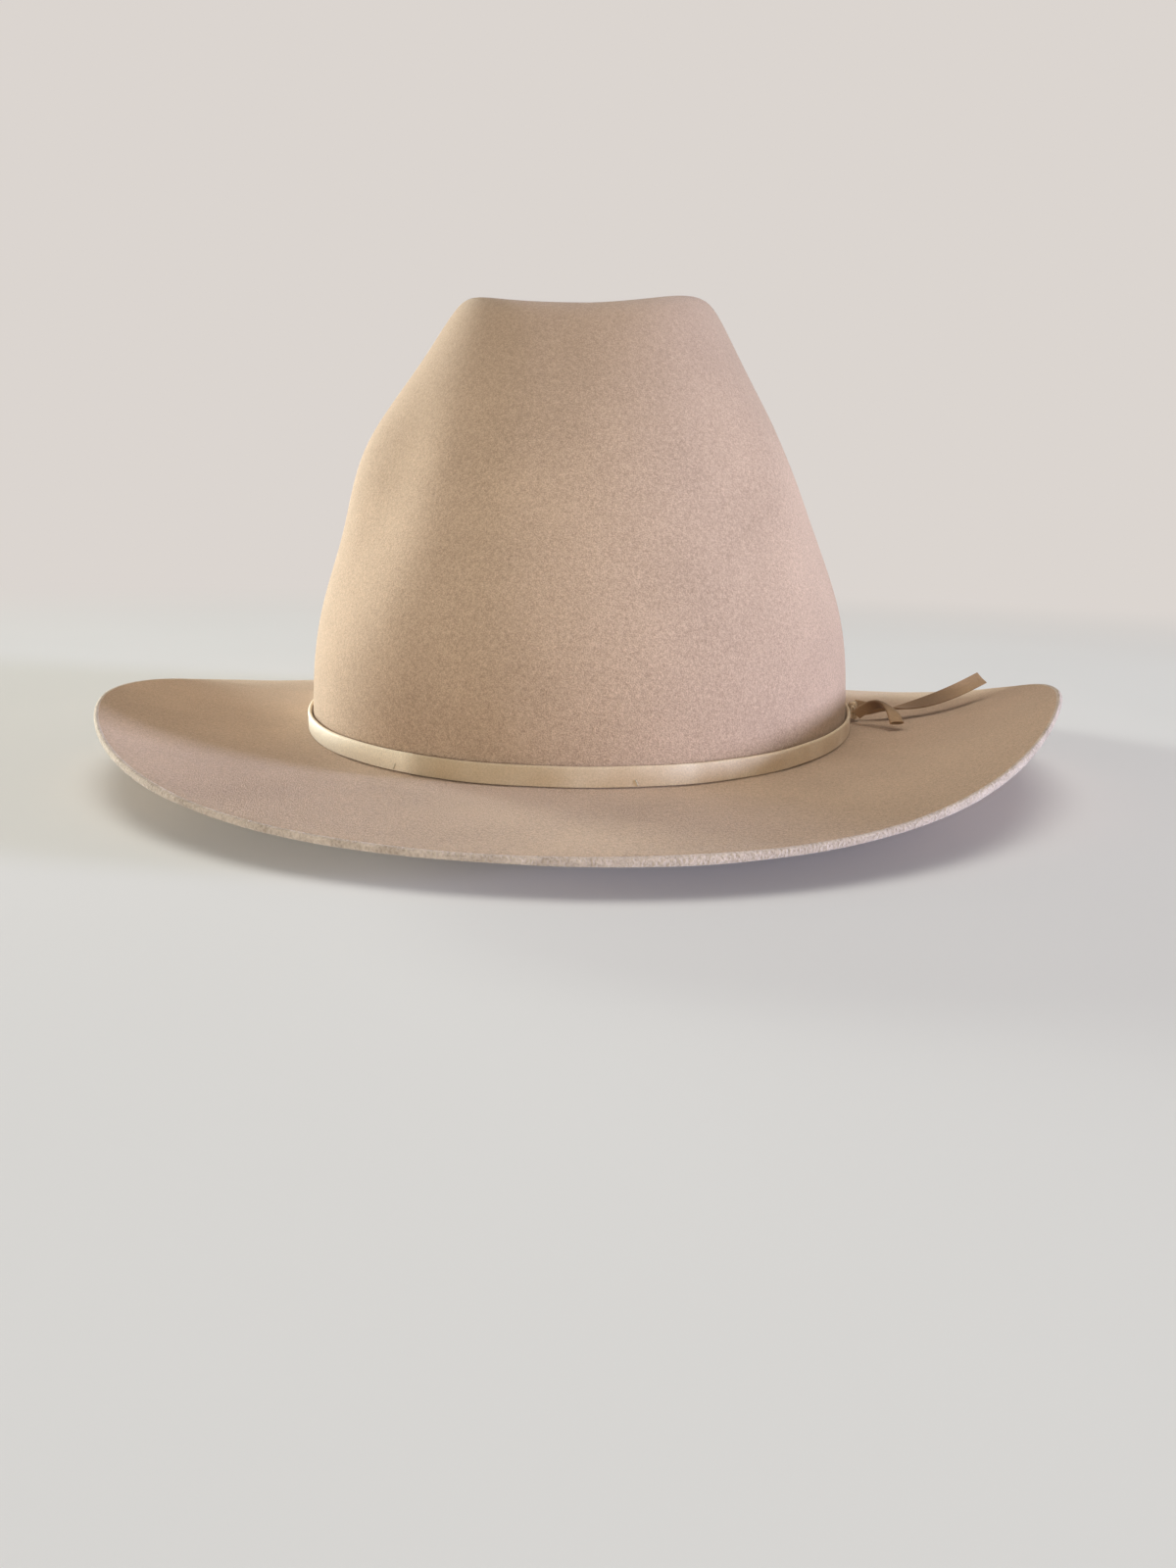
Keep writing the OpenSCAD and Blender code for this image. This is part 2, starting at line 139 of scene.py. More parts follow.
def copyOfNode(node, name):
    # a merged copy of a CAD node, with its triangles paired back into quads
    makeActive(frame["nodes"][node])
    bpy.ops.object.duplicate()
    piece = bpy.context.object
    bpy.ops.object.parent_clear(type="CLEAR_KEEP_TRANSFORM")
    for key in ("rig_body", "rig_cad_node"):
        del piece[key]
    piece.name = name
    piece.data.name = name
    piece.data.materials.clear()
    bpy.ops.mesh.customdata_custom_splitnormals_clear()
    startEdit(piece)
    bpy.ops.mesh.select_all(action="SELECT")
    bpy.ops.mesh.remove_doubles(threshold=0.01 * mm)
    bpy.ops.mesh.tris_convert_to_quads(face_threshold=math.pi, shape_threshold=math.pi)
    bpy.ops.mesh.normals_make_consistent(inside=False)
    bpy.ops.object.mode_set(mode="OBJECT")
    return piece


def finishPiece(piece, body, materials, smoothAngle=50):
    makeActive(piece)
    bpy.ops.object.shade_smooth_by_angle(angle=math.radians(smoothAngle))
    piece.data.materials.clear()
    for material in materials:
        piece.data.materials.append(material)
    if body:
        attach(piece, body)


# the head oval is the foot of the crown, and the ribbon, tacks and stitches follow it
ovalSizes = {
    "squareness": 2.15,
    "bandFace": 1.9 * mm,     # how far the band stands out from the felt
    "breakSaddle": 2.4 * mm,  # rise of the brim break at the two sides
}
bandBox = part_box("hat_band")
halfWidth = bandBox[1].x - ovalSizes["bandFace"]
halfLength = bandBox[1].y - ovalSizes["bandFace"]


def ovalRadius(angle):
    power = ovalSizes["squareness"]
    return (abs(math.cos(angle) / halfWidth) ** power
            + abs(math.sin(angle) / halfLength) ** power) ** (-1 / power)


def outwardAt(angle):
    power = ovalSizes["squareness"]
    x = ovalRadius(angle) * math.cos(angle)
    y = ovalRadius(angle) * math.sin(angle)
    slope = Vector((math.copysign(abs(x) ** (power - 1), x) / halfWidth ** power,
                    math.copysign(abs(y) ** (power - 1), y) / halfLength ** power, 0))
    return slope.normalized()


def ovalPlace(angle, out=0, height=0):
    foot = Vector((math.cos(angle), math.sin(angle), 0)) * ovalRadius(angle)
    foot += outwardAt(angle) * out
    foot.z = height + ovalSizes["breakSaddle"] * math.cos(angle) ** 2
    return foot


def beyondOval(place):
    return math.hypot(place.x, place.y) - ovalRadius(math.atan2(place.y, place.x))


def newGroup(name, inputs, outputs):
    group = bpy.data.node_groups.new(name, "ShaderNodeTree")
    for socketName, kind, value in inputs:
        socket = group.interface.new_socket(socketName, in_out="INPUT", socket_type=kind)
        if value is not None:
            socket.default_value = value
    for socketName, kind in outputs:
        group.interface.new_socket(socketName, in_out="OUTPUT", socket_type=kind)
    return group, group.nodes.new("NodeGroupInput"), group.nodes.new("NodeGroupOutput")


def node(tree, kind, **values):
    made = tree.nodes.new(kind)
    for key, value in values.items():
        if key in made.inputs:
            made.inputs[key].default_value = value
        else:
            setattr(made, key, value)
    return made


def noiseNode(tree, vector, scale, detail=2.0, roughness=0.5):
    made = node(tree, "ShaderNodeTexNoise", Detail=detail, Roughness=roughness)
    tree.links.new(vector, made.inputs["Vector"])
    if hasattr(scale, "is_linked"):
        tree.links.new(scale, made.inputs["Scale"])
    else:
        made.inputs["Scale"].default_value = scale
    return made.outputs["Fac"]


def mathNode(tree, operation, first, second=None, third=None):
    made = tree.nodes.new("ShaderNodeMath")
    made.operation = operation
    for place, value in enumerate((first, second, third)):
        if hasattr(value, "is_linked"):
            tree.links.new(value, made.inputs[place])
        elif value is not None:
            made.inputs[place].default_value = value
    return made.outputs[0]


def spread(tree, value, low, high, toLow=0.0, toHigh=1.0):
    made = node(tree, "ShaderNodeMapRange")
    made.inputs["From Min"].default_value = low
    made.inputs["From Max"].default_value = high
    made.inputs["To Min"].default_value = toLow
    made.inputs["To Max"].default_value = toHigh
    tree.links.new(value, made.inputs["Value"])
    return made.outputs["Result"]


def mixColour(tree, share, first, second, blend="MIX"):
    made = tree.nodes.new("ShaderNodeMix")
    made.data_type = "RGBA"
    made.blend_type = blend
    made.clamp_factor = True
    for socket, value in ((made.inputs[0], share), (made.inputs[6], first), (made.inputs[7], second)):
        if hasattr(value, "is_linked"):
            tree.links.new(value, socket)
        elif isinstance(value, (int, float)):
            socket.default_value = value
        else:
            socket.default_value = (*value, 1)
    return made.outputs[2]


def makeMottleGroup():
    # slow and quick patches of lighter and darker colour
    group, start, end = newGroup(
        "mottle",
        [("Vector", "NodeSocketVector", None), ("Patch Scale", "NodeSocketFloat", 25.0),
         ("Fleck Scale", "NodeSocketFloat", 1500.0)],
        [("Patches", "NodeSocketFloat"), ("Flecks", "NodeSocketFloat"), ("Grain", "NodeSocketFloat")])
    vector = start.outputs["Vector"]
    patches = noiseNode(group, vector, start.outputs["Patch Scale"], 3.0, 0.55)
    flecks = noiseNode(group, vector, start.outputs["Fleck Scale"], 2.0, 0.6)
    halfScale = mathNode(group, "MULTIPLY", start.outputs["Fleck Scale"], 0.37)
    grain = noiseNode(group, vector, halfScale, 1.0, 0.5)
    group.links.new(spread(group, patches, 0.3, 0.7), end.inputs["Patches"])
    group.links.new(spread(group, flecks, 0.28, 0.72), end.inputs["Flecks"])
    group.links.new(spread(group, grain, 0.3, 0.7), end.inputs["Grain"])
    return group


def makeWeaveGroup():
    # two sets of fine threads that cross
    group, start, end = newGroup(
        "weave",
        [("Vector", "NodeSocketVector", None), ("Across", "NodeSocketFloat", 1.0),
         ("Along", "NodeSocketFloat", 1.0)],
        [("Height", "NodeSocketFloat")])
    parts = group.nodes.new("ShaderNodeSeparateXYZ")
    group.links.new(start.outputs["Vector"], parts.inputs[0])
    waves = []
    for axis, name in (("X", "Across"), ("Y", "Along")):
        turned = mathNode(group, "MULTIPLY", parts.outputs[axis], start.outputs[name])
        turned = mathNode(group, "MULTIPLY", turned, 2 * math.pi)
        waves.append(mathNode(group, "SINE", turned))
    crossed = mathNode(group, "MULTIPLY", waves[0], waves[1])
    group.links.new(spread(group, crossed, -1, 1), end.inputs["Height"])
    return group


mottleGroup = makeMottleGroup()
weaveGroup = makeWeaveGroup()


def placeGroup(tree, group, vector, **values):
    made = tree.nodes.new("ShaderNodeGroup")
    made.node_tree = group
    tree.links.new(vector, made.inputs["Vector"])
    for key, value in values.items():
        made.inputs[key].default_value = value
    return made


def newMaterial(name, **constants):
    material = bpy.data.materials.new(name)
    material.use_nodes = True
    tree = material.node_tree
    shader = tree.nodes["Principled BSDF"]
    for key, value in constants.items():
        shader.inputs[key].default_value = value
    coords = tree.nodes.new("ShaderNodeTexCoord")
    return material, tree, shader, coords


def feedColour(tree, shader, colour):
    tree.links.new(colour, shader.inputs["Base Color"])


def feedBump(tree, shader, height, distance, strength=1.0):
    bump = node(tree, "ShaderNodeBump", Strength=strength, Distance=distance)
    tree.links.new(height, bump.inputs["Height"])
    tree.links.new(bump.outputs["Normal"], shader.inputs["Normal"])


def mottleIn(tree, coords, look):
    # patches and flecks laid out in the piece's own space
    mottle = placeGroup(tree, mottleGroup, coords.outputs["Object"],
                        **{"Patch Scale": look["patchScale"], "Fleck Scale": look["fleckScale"]})
    return mottle.outputs


feltLook = {
    "dark": (0.3, 0.205, 0.136),
    "light": (0.69, 0.494, 0.342),
    "patchScale": 26.0,
    "fleckScale": 3000.0,
    "patchShare": 0.22,
    "patchStart": -0.08,
    "fleckShare": 0.7,
    "grainShare": 0.24,
    "napHeight": 0.16 * mm,
    "darkMarkPlace": (0.007, -0.083, 0.103),      # a darker mark near the top of the crown's front
    "darkMarkReach": (0.0045, 0.03, 0.0007),
    "darkMarkDepth": 0.3,
    "paintedShadeFrom": 0.078,     # above this height the felt gets painted shade, coloured darker towards the top of the crown
    "paintedShadeTo": 0.122,
    "paintedShadeDepth": 0.42,
}


def darkMarkOn(tree, place):
    moved = node(tree, "ShaderNodeVectorMath", operation="SUBTRACT")
    tree.links.new(place, moved.inputs[0])
    moved.inputs[1].default_value = feltLook["darkMarkPlace"]
    scaled = node(tree, "ShaderNodeVectorMath", operation="DIVIDE")
    tree.links.new(moved.outputs[0], scaled.inputs[0])
    scaled.inputs[1].default_value = feltLook["darkMarkReach"]
    away = node(tree, "ShaderNodeVectorMath", operation="LENGTH")
    tree.links.new(scaled.outputs[0], away.inputs[0])
    return spread(tree, away.outputs["Value"], 1.3, 0.2, 0, feltLook["darkMarkDepth"])


def makeFeltMaterial():
    material, tree, shader, coords = newMaterial(
        "feltNap", **{"Roughness": 0.92, "Sheen Weight": 0.2, "Sheen Roughness": 0.5,
                      "Sheen Tint": (1, 0.93, 0.84, 1), "Specular IOR Level": 0.25})
    place = coords.outputs["Object"]
    mottle = mottleIn(tree, coords, feltLook)
    slow = mathNode(tree, "MULTIPLY_ADD", mottle["Patches"], feltLook["patchShare"], feltLook["patchStart"])
    quick = mathNode(tree, "MULTIPLY", mottle["Flecks"], feltLook["fleckShare"])
    coarse = mathNode(tree, "MULTIPLY", mottle["Grain"], feltLook["grainShare"])
    share = mathNode(tree, "ADD", mathNode(tree, "ADD", slow, quick), coarse)
    nap = mixColour(tree, share, feltLook["dark"], feltLook["light"])
    parts = tree.nodes.new("ShaderNodeSeparateXYZ")
    tree.links.new(place, parts.inputs[0])
    # painted shade: the felt's colour darkens towards the top of the crown
    paintedTopShade = spread(tree, parts.outputs["Z"], feltLook["paintedShadeFrom"], feltLook["paintedShadeTo"],
                     0, feltLook["paintedShadeDepth"])
    # the darker mark and the painted shade at the crown's top both darken the felt's colour
    paintedShadeAndMark = mathNode(tree, "MAXIMUM", darkMarkOn(tree, place), paintedTopShade)
    feedColour(tree, shader, mixColour(tree, paintedShadeAndMark, nap, feltLook["dark"]))
    feedBump(tree, shader, mathNode(tree, "ADD", quick, coarse), feltLook["napHeight"], 0.8)
    return material


rawEdgeLook = {
    "dark": (0.36, 0.27, 0.2),
    "light": (0.74, 0.6, 0.48),
    "patchScale": 160.0,
    "fleckScale": 1500.0,
    "relief": 0.35 * mm,
}


def makeRawEdgeMaterial():
    material, tree, shader, coords = newMaterial(
        "feltRawEdge", **{"Roughness": 0.95, "Sheen Weight": 0.5, "Sheen Roughness": 0.5,
                          "Sheen Tint": (1, 0.96, 0.9, 1), "Specular IOR Level": 0.2})
    mottle = mottleIn(tree, coords, rawEdgeLook)
    quick = mathNode(tree, "MULTIPLY", mottle["Flecks"], 0.6)
    slow = mathNode(tree, "MULTIPLY", mottle["Patches"], 0.5)
    share = mathNode(tree, "ADD", quick, slow)
    feedColour(tree, shader, mixColour(tree, share, rawEdgeLook["dark"], rawEdgeLook["light"]))
    feedBump(tree, shader, mottle["Flecks"], rawEdgeLook["relief"])
    return material


ribbonLook = {
    # painted shade: the groove colour darkens the hollows between the ribs
    "grooveShade": (0.3, 0.2, 0.1),
    "crest": (0.72, 0.54, 0.34),
    "paleWearAndHighlight": (0.97, 0.83, 0.62),
    "tailShadowGroove": (0.2, 0.115, 0.055),       # painted shade: the tails are the band's cloth, coloured darker as if in shadow
    "tailShadowCrest": (0.41, 0.262, 0.14),
    "patchScale": 60.0,
    "fleckScale": 2600.0,
    "wornSharpness": 1.8,
    "wornShare": 0.7,
    "fadeFrom": -0.0225,      # painted highlight: the band is coloured paler beyond this place across the hat, on the side towards the windowLeft lamp
    "fadeTo": -0.034,
    "highlightInGrooves": 0.9,
    "relief": 0.05 * mm,
}


def makeRibbonMaterial(name, grooveShade, crest, paleWearAndHighlight, faded=False):
    material, tree, shader, coords = newMaterial(
        name, **{"Roughness": 0.62, "Sheen Weight": 0.15, "Specular IOR Level": 0.4})
    parts = tree.nodes.new("ShaderNodeSeparateXYZ")
    tree.links.new(coords.outputs["UV"], parts.inputs[0])
    turned = mathNode(tree, "MULTIPLY", parts.outputs["X"], 2 * math.pi)
    # painted shade in the rib hollows: the groove colour falls where each rib dips
    ribs = spread(tree, mathNode(tree, "COSINE", turned), -1, 0.6)
    mottle = mottleIn(tree, coords, ribbonLook)
    wearAndHighlightShare = mathNode(tree, "POWER", mottle["Patches"], ribbonLook["wornSharpness"])
    wearAndHighlightShare = mathNode(tree, "MULTIPLY", wearAndHighlightShare, ribbonLook["wornShare"])
    # painted highlight: on the band, the side towards the windowLeft lamp is coloured pale, its rib grooves
    # too
    if faded:
        across = tree.nodes.new("ShaderNodeSeparateXYZ")
        tree.links.new(coords.outputs["Object"], across.inputs[0])
        fade = spread(tree, across.outputs["X"], ribbonLook["fadeFrom"], ribbonLook["fadeTo"])
        wearAndHighlightShare = mathNode(tree, "MAXIMUM", wearAndHighlightShare, fade)
        grooveHighlight = mathNode(tree, "MULTIPLY", fade, ribbonLook["highlightInGrooves"])
        ribs = mathNode(tree, "MAXIMUM", ribs, grooveHighlight)
    ribbed = mixColour(tree, ribs, grooveShade, mixColour(tree, wearAndHighlightShare, crest, paleWearAndHighlight))
    fleck = spread(tree, mottle["Flecks"], 0, 1, 0.84, 1.08)
    fleckColour = tree.nodes.new("ShaderNodeCombineColor")
    for channel in range(3):
        tree.links.new(fleck, fleckColour.inputs[channel])
    feedColour(tree, shader, mixColour(tree, 1.0, ribbed, fleckColour.outputs[0], "MULTIPLY"))
    weave = placeGroup(tree, weaveGroup, coords.outputs["UV"], Across=1.0, Along=4.0)
    height = mathNode(tree, "ADD", weave.outputs["Height"], mottle["Flecks"])
    feedBump(tree, shader, height, ribbonLook["relief"], 0.7)
    return material


threadLook = {
    "dark": (0.5, 0.42, 0.29),
    "light": (0.76, 0.68, 0.52),
    "patchScale": 300.0,
    "fleckScale": 5000.0,
    "relief": 0.08 * mm,
}


def makeThreadMaterial():
    material, tree, shader, coords = newMaterial("sewingThread", **{"Roughness": 0.6, "Sheen Weight": 0.2})
    mottle = mottleIn(tree, coords, threadLook)
    feedColour(tree, shader, mixColour(tree, mottle["Flecks"], threadLook["dark"], threadLook["light"]))
    feedBump(tree, shader, mottle["Flecks"], threadLook["relief"])
    return material


leatherLook = {
    "dark": (0.13, 0.062, 0.028),
    "light": (0.27, 0.145, 0.072),
    "patchScale": 35.0,
    "fleckScale": 2400.0,
    "grainScale": 900.0,
    "relief": 0.12 * mm,
}


def makeLeatherMaterial():
    material, tree, shader, coords = newMaterial(
        "sweatLeather", **{"Specular IOR Level": 0.45, "Coat Roughness": 0.35})
    cells = node(tree, "ShaderNodeTexVoronoi", Scale=leatherLook["grainScale"])
    tree.links.new(coords.outputs["Object"], cells.inputs["Vector"])
    mottle = mottleIn(tree, coords, leatherLook)
    grain = mathNode(tree, "MULTIPLY_ADD", cells.outputs["Distance"], 0.7, 0.1)
    share = mathNode(tree, "MULTIPLY_ADD", mottle["Patches"], 0.6, grain)
    feedColour(tree, shader, mixColour(tree, share, leatherLook["dark"], leatherLook["light"]))
    tree.links.new(spread(tree, mottle["Patches"], 0, 1, 0.36, 0.55), shader.inputs["Roughness"])
    tree.links.new(spread(tree, mottle["Patches"], 0, 1, 0.12, 0.0), shader.inputs["Coat Weight"])
    height = mathNode(tree, "ADD", cells.outputs["Distance"],
                      mathNode(tree, "MULTIPLY", mottle["Flecks"], 0.3))
    feedBump(tree, shader, height, leatherLook["relief"], 0.6)
    return material


satinLook = {
    "dark": (0.42, 0.34, 0.26),
    "light": (0.55, 0.46, 0.36),
    "patchScale": 22.0,
    "fleckScale": 1800.0,
    "weaveScale": 1600.0,
    "relief": 0.03 * mm,
}


def makeSatinMaterial():
    material, tree, shader, coords = newMaterial(
        "liningSatin", **{"Roughness": 0.34, "Specular IOR Level": 0.6, "Sheen Weight": 0.25,
                          "Sheen Roughness": 0.3})
    mottle = mottleIn(tree, coords, satinLook)
    feedColour(tree, shader, mixColour(tree, mottle["Patches"], satinLook["dark"], satinLook["light"]))
    weave = placeGroup(tree, weaveGroup, coords.outputs["Object"],
                       Across=satinLook["weaveScale"], Along=satinLook["weaveScale"])
    height = mathNode(tree, "MULTIPLY_ADD", mottle["Flecks"], 0.4, weave.outputs["Height"])
    feedBump(tree, shader, height, satinLook["relief"], 0.5)
    return material


tapeLook = {
    "dark": (0.028, 0.02, 0.015),
    "light": (0.1, 0.075, 0.056),
    "patchScale": 90.0,
    "fleckScale": 2500.0,
    "weaveScale": 900.0,
    "relief": 0.08 * mm,
}
tagLook = {
    "dark": (0.6, 0.57, 0.49),
    "light": (0.8, 0.78, 0.7),
    "patchScale": 120.0,
    "fleckScale": 3000.0,
    "weaveScale": 1500.0,
    "relief": 0.05 * mm,
}


def makeWovenMaterial(name, look, share, **constants):
    # a plain weave whose crossings take the light colour where the chosen mottle is strong
    material, tree, shader, coords = newMaterial(name, **constants)
    weave = placeGroup(tree, weaveGroup, coords.outputs["Object"],
                       Across=look["weaveScale"], Along=look["weaveScale"])
    mottled = mathNode(tree, "MULTIPLY", weave.outputs["Height"], mottleIn(tree, coords, look)[share])
    feedColour(tree, shader, mixColour(tree, mottled, look["dark"], look["light"]))
    feedBump(tree, shader, weave.outputs["Height"], look["relief"])
    return material


pipingLook = {
    "dark": (0.2, 0.15, 0.11),
    "light": (0.33, 0.26, 0.2),
    "patchScale": 60.0,
    "fleckScale": 2200.0,
    "relief": 0.08 * mm,
}


def makePipingMaterial():
    material, tree, shader, coords = newMaterial("cordedPiping", **{"Roughness": 0.5, "Sheen Weight": 0.2})
    mottle = mottleIn(tree, coords, pipingLook)
    feedColour(tree, shader, mixColour(tree, mottle["Flecks"], pipingLook["dark"], pipingLook["light"]))
    feedBump(tree, shader, mottle["Flecks"], pipingLook["relief"])
    return material


plasticLook = {
    "dark": (0.74, 0.74, 0.68),
    "light": (0.83, 0.83, 0.78),
    "patchScale": 80.0,
    "fleckScale": 1200.0,
    "relief": 0.02 * mm,
}


def makePlasticMaterial():
    material, tree, shader, coords = newMaterial(
        "reedPlastic", **{"Roughness": 0.38, "Specular IOR Level": 0.5})
    mottle = mottleIn(tree, coords, plasticLook)
    feedColour(tree, shader, mixColour(tree, mottle["Patches"], plasticLook["dark"], plasticLook["light"]))
    feedBump(tree, shader, mottle["Flecks"], plasticLook["relief"], 0.5)
    return material


brassLook = {
    "dark": (0.52, 0.38, 0.18),
    "light": (0.72, 0.56, 0.28),
    "patchScale": 250.0,
    "fleckScale": 3000.0,
    "relief": 0.02 * mm,
}


def makeBrassMaterial():
    material, tree, shader, coords = newMaterial("joinerBrass", **{"Metallic": 1.0})
    mottle = mottleIn(tree, coords, brassLook)
    feedColour(tree, shader, mixColour(tree, mottle["Patches"], brassLook["dark"], brassLook["light"]))
    tree.links.new(spread(tree, mottle["Patches"], 0, 1, 0.25, 0.5), shader.inputs["Roughness"])
    feedBump(tree, shader, mottle["Flecks"], brassLook["relief"], 0.4)
    return material


feltNap = makeFeltMaterial()
feltRawEdge = makeRawEdgeMaterial()
# the band's material carries a painted highlight on one side
ribbonLight = makeRibbonMaterial("ribbonBand", ribbonLook["grooveShade"], ribbonLook["crest"],
                                 ribbonLook["paleWearAndHighlight"], faded=True)
# painted shade: the tails' material is a darker copy of the band's ribbon
ribbonShadedCopy = makeRibbonMaterial("ribbonTailsPaintedShade", ribbonLook["tailShadowGroove"], ribbonLook["tailShadowCrest"],
                                ribbonLook["tailShadowCrest"])
ribbonKnotCloth = makeRibbonMaterial("ribbonKnotCloth", ribbonLook["grooveShade"], ribbonLook["crest"],
                                     ribbonLook["paleWearAndHighlight"])
sewingThread = makeThreadMaterial()
sweatLeather = makeLeatherMaterial()
liningSatin = makeSatinMaterial()
bindingTape = makeWovenMaterial("bindingTape", tapeLook, "Flecks",
                                **{"Roughness": 0.8, "Sheen Weight": 0.2})
cordedPiping = makePipingMaterial()
reedPlastic = makePlasticMaterial()
joinerBrass = makeBrassMaterial()
wovenTag = makeWovenMaterial("wovenTag", tagLook, "Patches", **{"Roughness": 0.7, "Sheen Weight": 0.15})
print("materials made")


def runsRound(mesh, edge):
    # an edge that runs round the head, not up and down it
    first, second = (mesh.vertices[i].co for i in edge.vertices)
    turn = math.atan2(first.y, first.x) - math.atan2(second.y, second.x)
    return abs(math.sin(turn)) > math.sin(math.radians(2))


feltSizes = {
    "edgeZone": 56 * mm,      # beyond this the brim's cut edge begins
    "edgeBevel": 0.45 * mm,
    "rawZone": 57.2 * mm,
    "levels": 2,
    "lumpDepth": 0.7 * mm,
    "lumpSpan": 0.06,
    "smallLumpDepth": 0.22 * mm,
    "smallLumpSpan": 0.018,
}


def addLumps(piece, name, depth, span):
    texture = bpy.data.textures.new(name, "CLOUDS")
    texture.noise_scale = span
    texture.noise_depth = 1
    addModifier(piece, "DISPLACE", texture=texture, texture_coords="LOCAL", strength=depth,
                mid_level=0.5)


def makeFelt():
    felt = copyOfNode("felt_body", "felt")

    def onCutEdge(edge):
        reach = min(beyondOval(felt.data.vertices[i].co) for i in edge.vertices)
        return reach > feltSizes["edgeZone"] and runsRound(felt.data, edge)

    selectWhere(felt, "EDGE", onCutEdge)
    bpy.ops.mesh.bevel(offset=feltSizes["edgeBevel"], segments=1, affect="EDGES")
    bpy.ops.object.mode_set(mode="OBJECT")
    for face in felt.data.polygons:
        reach = min(beyondOval(felt.data.vertices[i].co) for i in face.vertices)
        face.material_index = 1 if reach > feltSizes["rawZone"] else 0
    subdivide(felt, feltSizes["levels"])
    addLumps(felt, "slowLumps", feltSizes["lumpDepth"], feltSizes["lumpSpan"])
    addLumps(felt, "smallLumps", feltSizes["smallLumpDepth"], feltSizes["smallLumpSpan"])
    applyModifiers(felt)
    marks = [face.material_index for face in felt.data.polygons]
    finishPiece(felt, "hat", [feltNap, feltRawEdge], 70)
    felt.data.polygons.foreach_set("material_index", marks)
    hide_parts("felt_body")
    return felt


felt = makeFelt()
print("felt shaped,", len(felt.data.polygons), "faces")


def sweep(name, route, profile, tilts=None, radii=None, closed=False, capped=True):
    # carries a closed profile along a route, and gives the mesh
    def polyCurve(curveName, places, cyclic):
        curve = bpy.data.curves.new(curveName, "CURVE")
        curve.dimensions = "3D"
        spline = curve.splines.new("POLY")
        spline.points.add(len(places) - 1)
        for point, place in zip(spline.points, places):
            point.co = (*place, 1)
        spline.use_cyclic_u = cyclic
        holder = bpy.data.objects.new(curveName, curve)
        bpy.context.scene.collection.objects.link(holder)
        return holder

    outline = polyCurve(name + "Outline", [(x, y, 0) for x, y in profile], True)
    piece = polyCurve(name, route, closed)
    piece.data.twist_mode = "Z_UP"
    for place, point in enumerate(piece.data.splines[0].points):
        point.tilt = tilts[place] if tilts else 0
        point.radius = radii[place] if radii else 1
    piece.data.bevel_mode = "OBJECT"
    piece.data.bevel_object = outline
    piece.data.use_fill_caps = capped and not closed
    makeActive(piece)
    bpy.ops.object.convert(target="MESH")
    piece = bpy.context.object
    bpy.data.objects.remove(outline)
    return piece


def mapRibs(piece, ringSize, ringCount):
    # one rib is two rings, so the map's first number counts ribs
    layer = piece.data.uv_layers.get("ribs") or piece.data.uv_layers.new(name="ribs")
    piece.data.uv_layers.active = layer
    for face in piece.data.polygons:
        rings = [i // ringSize for i in face.vertices]
        wrapped = max(rings) - min(rings) > ringCount / 2
        for corner, vertex, ring in zip(face.loop_indices, face.vertices, rings):
            count = ring + (ringCount if wrapped and ring < ringCount / 2 else 0)
            layer.data[corner].uv = (count / 2, (vertex % ringSize) / ringSize * 12)


def pressGrooves(piece, ringSize, depth):
    # sinks every other ring along its normals
    selectWhere(piece, "VERT", lambda vertex: (vertex.index // ringSize) % 2 == 1)
    bpy.ops.transform.shrink_fatten(value=-depth)
    bpy.ops.object.mode_set(mode="OBJECT")


def evenShares(fine, pitch, ends):
    # shares along a fine line of places, two for each rib, that lie one even step of length apart
    lengths = [0.0]
    for place, before in zip(fine[1:], fine):
        lengths.append(lengths[-1] + (place - before).length)
    count = 2 * round(lengths[-1] / pitch)
    shares, at = [], 0
    for ring in range(count + ends):
        goal = lengths[-1] * ring / count
        while at < len(fine) - 2 and lengths[at + 1] < goal:
            at += 1
        part = (goal - lengths[at]) / (lengths[at + 1] - lengths[at])
        shares.append(min(1, (at + part) / (len(fine) - 1)))
    return shares


bandSizes = {
    "ribPitch": 0.68 * mm,
    "grooveDepth": 0.075 * mm,
    "bottom": 0.6 * mm,
    "top": 5.8 * mm,
    "outer": 1.12 * mm,
    "inner": 0.02 * mm,
    "cloth": 0.38 * mm,
    "fold": 0.5 * mm,         # how far the cloth's folds round off
    "wave": 0.12 * mm,
    "lapTurn": 252,           # where the ribbon's outer end lies over its start
    "lapLength": 150,
    "lapRise": 0.4,           # degrees in which the outer end steps up
    "lapStep": 0.3 * mm,
}


def bandProfile():
    # the ribbon folded lengthwise: its face, over the top, down the back and up inside
    size = bandSizes
    out, back, cloth, fold = size["outer"], size["inner"], size["cloth"], size["fold"]
    low, top = size["bottom"], size["top"]
    return [(out, low), (out, low + 1.8 * mm), (out, top - 0.65 * mm), (out - 0.14 * mm, top - 0.2 * mm),
            (out - fold, top), (back + 0.3 * mm, top - 0.08 * mm), (back, top - fold),
            (back, low + fold), (back + cloth, low + fold), (back + cloth, top - 0.75 * mm),
            (out - cloth, top - 0.75 * mm), (out - cloth, low)]


def lapAt(angle):
    # how far the ribbon's outer end lifts the cloth over it, fading out along the lap
    past = (math.degrees(angle) - bandSizes["lapTurn"]) % 360
    fadeOut = max(0, 1 - past / bandSizes["lapLength"])
    return bandSizes["lapStep"] * min(1, past / bandSizes["lapRise"]) * fadeOut


